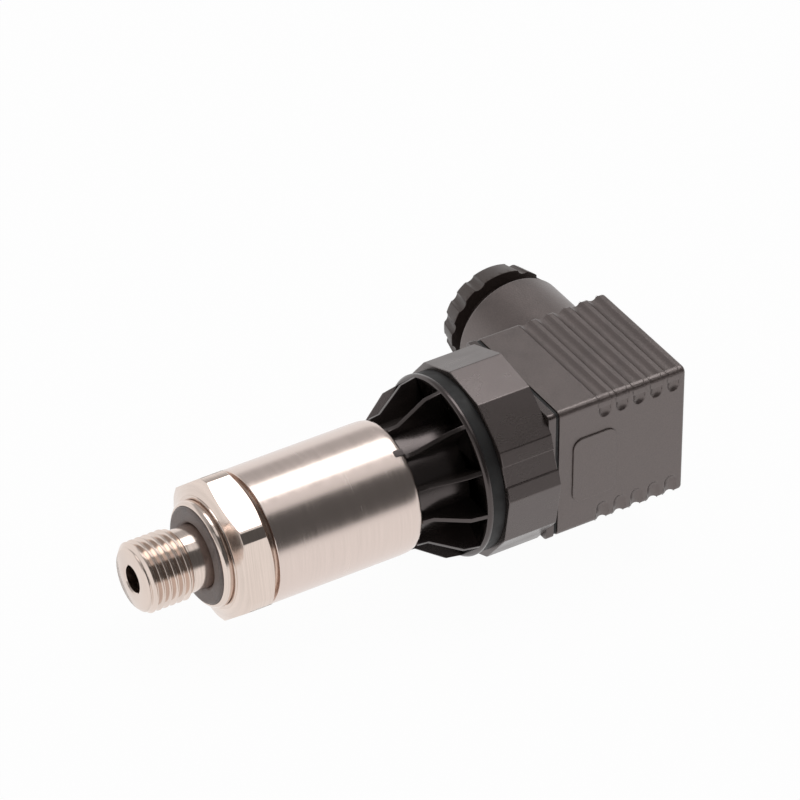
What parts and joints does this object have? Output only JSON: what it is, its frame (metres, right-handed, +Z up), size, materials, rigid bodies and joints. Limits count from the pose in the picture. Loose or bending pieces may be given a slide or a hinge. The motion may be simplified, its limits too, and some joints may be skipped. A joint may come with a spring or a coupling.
{
  "type": "pressure transmitter",
  "caption": "Threaded steel pressure transmitter with a brushed tube, ribbed black flange, faceted sleeve and a rectangular angle plug with a fluted cable gland.",
  "frame": {"origin": "on the transmitter's axis, in the plane of the collar's sealing lip", "axes": "+X level, from the thread towards the plug, with the axis rising 5.03 degrees along it; +Z up, as the part lies on its hexagon's lowest corner and the front edge of the sleeve's lowest facet; +Y level, towards the gland's side"},
  "size_m": [0.1065, 0.0537, 0.036],
  "materials": {
    "stainless_steel": "brushed around the axis",
    "turned_steel": "fine turned, bright",
    "black_plastic": "moulded, satin",
    "plug_plastic": "moulded, fine grain",
    "black_rubber": "moulded rubber",
    "white_ceramic": "sintered ceramic, ground",
    "insert_plastic": "moulded, satin",
    "brass": "machined",
    "tinned_contact": "tin plated",
    "zinc_steel": "zinc plated",
    "board_green": "solder mask",
    "component_black": "moulded package",
    "wire_cover": "insulation"
  },
  "bodies": {
    "housing": {"process_fitting": "turned_steel", "port_seal": "black_rubber", "sensor_cell": "white_ceramic", "cell_oring": "black_rubber", "clamp_ring": "turned_steel", "body_tube": "stainless_steel", "circuit_board": "board_green", "board_chips": "component_black", "board_capacitor": "component_black", "sensor_leads": "tinned_contact", "output_wires": "wire_cover", "ribbed_flange": "black_plastic", "tube_oring": "black_rubber", "flange_seal": "black_rubber", "faceted_sleeve": "black_plastic", "connector_base": "black_plastic", "base_oring": "black_rubber", "contact_blades": "tinned_contact", "earth_blade": "tinned_contact", "base_insert": "brass", "plug_gasket": "black_rubber"},
    "plug": {"plug_cover": "plug_plastic", "terminal_insert": "insert_plastic", "contact_sockets": "brass", "earth_socket": "brass", "terminal_screws": "zinc_steel", "gland_grommet": "black_rubber"},
    "screw_lift": {"screw_washer": "black_rubber"},
    "screw": {"fixing_screw": "zinc_steel"},
    "gland_lift": {"gland_washer": "insert_plastic"},
    "gland": {"gland_screw": "black_plastic"}
  },
  "joints": [
    {"name": "plug_pull", "type": "slide", "parent": "housing", "child": "plug", "axis": [0.9962, 0, 0.0877], "range_m": [0, 0.016]},
    {"name": "screw_travel", "type": "slide", "parent": "plug", "child": "screw_lift", "axis": [0.9962, 0, 0.0877], "range_m": [0, 0.0045]},
    {"name": "screw_turn", "type": "hinge", "parent": "screw_lift", "child": "screw", "pos_m": [0.08886, 0, 0.00782], "axis": [0.9962, 0, 0.0877], "range_deg": [0, 3240]},
    {"name": "gland_travel", "type": "slide", "parent": "plug", "child": "gland_lift", "axis": [0.0133, 0.9885, -0.1507], "range_m": [-0.0022, 0.005]},
    {"name": "gland_turn", "type": "hinge", "parent": "gland_lift", "child": "gland", "pos_m": [0.08205, 0.03064, 0.00251], "axis": [0.0133, 0.9885, -0.1507], "range_deg": [-528, 1200]}
  ],
  "couplings": [
    {"joint": "screw_turn", "follows": "screw_travel", "rad_per_m": 12566},
    {"joint": "gland_turn", "follows": "gland_travel", "rad_per_m": 4188.8}
  ]
}
